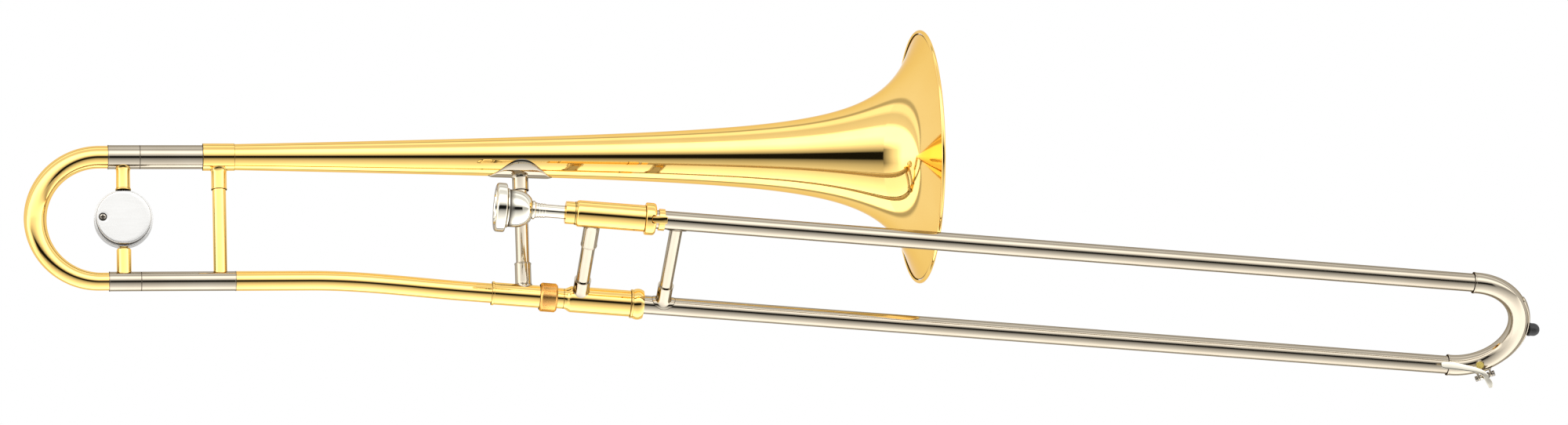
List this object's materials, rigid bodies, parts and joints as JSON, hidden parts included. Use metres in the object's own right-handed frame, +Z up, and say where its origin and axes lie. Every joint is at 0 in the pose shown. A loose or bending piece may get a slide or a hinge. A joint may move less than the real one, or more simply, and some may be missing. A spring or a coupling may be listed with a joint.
{
  "type": "trombone",
  "caption": "Tenor trombone with a flared bell, tuning slide with a round counterweight, hand slide with its lock, water key and bumper, neck lock nut and mouthpiece.",
  "frame": {"origin": "middle of the bell brace, where the left hand holds the instrument", "axes": "+X along the bell towards its mouth, +Z up, the bell section in the XZ plane; the hand slide's upper tube is on the -Y side"},
  "size_m": [1.1897, 0.1996, 0.2935],
  "materials": {
    "lacquered_brass": "polished yellow brass under clear lacquer",
    "nickel_silver": "polished nickel silver",
    "silver_plate": "bright silver plate",
    "satin_nickel": "satin nickel plate",
    "copper_brass": "satin red brass",
    "steel": "turned steel",
    "cork": "natural cork",
    "rubber": "moulded black rubber"
  },
  "bodies": {
    "bell_section": {"bell_tail": "lacquered_brass", "bell_flare": "lacquered_brass", "bell_rim_bead": "lacquered_brass", "bell_tail_ferrule": "lacquered_brass", "upper_outer_leg": "nickel_silver", "lower_outer_leg": "nickel_silver", "gooseneck": "lacquered_brass", "neck_receiver": "lacquered_brass", "bell_brace_flange": "nickel_silver", "bell_brace_upper_socket": "nickel_silver", "bell_brace_tube": "nickel_silver", "bell_brace_lower_socket": "nickel_silver", "rear_stay_socket": "lacquered_brass", "rear_stay_tube": "lacquered_brass"},
    "tuning_slide": {"tuning_bow": "lacquered_brass", "upper_bow_ferrule": "nickel_silver", "lower_bow_ferrule": "nickel_silver", "upper_inner_leg": "nickel_silver", "lower_inner_leg": "nickel_silver", "counterweight_body": "satin_nickel", "counterweight_cap": "satin_nickel", "counterweight_screw": "steel", "counterweight_upper_stub": "lacquered_brass", "counterweight_lower_stub": "lacquered_brass"},
    "lock_nut": {"neck_lock_nut": "copper_brass"},
    "inner_slide": {"slide_tenon": "lacquered_brass", "lower_cork_barrel": "lacquered_brass", "lower_barrel_end_ring": "lacquered_brass", "upper_cork_barrel": "lacquered_brass", "mouthpiece_receiver": "lacquered_brass", "leadpipe": "lacquered_brass", "upper_inner_tube": "nickel_silver", "lower_inner_tube": "nickel_silver", "upper_stocking": "nickel_silver", "lower_stocking": "nickel_silver", "upper_cork": "cork", "lower_cork": "cork", "inner_brace_lower_socket": "nickel_silver", "inner_brace_tube": "nickel_silver", "inner_brace_upper_socket": "nickel_silver"},
    "lock_ring": {"slide_lock_ring": "lacquered_brass"},
    "mouthpiece": {"mouthpiece": "silver_plate"},
    "outer_slide": {"upper_outer_tube": "nickel_silver", "lower_outer_tube": "nickel_silver", "slide_lock_collar": "lacquered_brass", "outer_brace_lower_saddle": "nickel_silver", "outer_brace_upper_saddle": "nickel_silver", "outer_brace_lower_socket": "nickel_silver", "outer_brace_tube": "nickel_silver", "slide_bow": "nickel_silver", "bow_guard": "nickel_silver", "bow_bumper": "rubber", "water_key_saddle": "nickel_silver", "water_key_nipple": "nickel_silver", "water_key_pin": "steel", "water_key_spring": "steel"},
    "water_key": {"water_key_lever": "silver_plate", "water_key_cork": "cork"}
  },
  "joints": [
    {"name": "tuning_pull", "type": "slide", "parent": "bell_section", "child": "tuning_slide", "axis": [-1, 0, 0], "range_m": [0, 0.06]},
    {"name": "nut_turn", "type": "hinge", "parent": "bell_section", "child": "lock_nut", "pos_m": [0, 0, -0.0549], "axis": [0.9967, 0, -0.0816], "continuous": true},
    {"name": "slide_swivel", "type": "hinge", "parent": "bell_section", "child": "inner_slide", "pos_m": [0, 0, -0.0549], "axis": [0.9967, 0, -0.0816], "range_deg": [0, 245]},
    {"name": "hand_slide", "type": "slide", "parent": "inner_slide", "child": "outer_slide", "axis": [0.9967, 0, -0.0816], "range_m": [0, 0.58]},
    {"name": "lock_ring_turn", "type": "hinge", "parent": "inner_slide", "child": "lock_ring", "pos_m": [0.0041, -0.07226, -0.00484], "axis": [0.9967, 0, -0.0816], "range_deg": [0, 50]},
    {"name": "mouthpiece_pull", "type": "slide", "parent": "inner_slide", "child": "mouthpiece", "axis": [-0.9967, 0, 0.0816], "range_m": [0, 0.03]},
    {"name": "water_key_press", "type": "hinge", "parent": "outer_slide", "child": "water_key", "pos_m": [0.76821, -0.00389, -0.12558], "axis": [0.875, -0.4278, 0.2267], "range_deg": [0, 14], "stiffness_Nm_per_rad": 0.02, "springref_deg": -17.19}
  ]
}
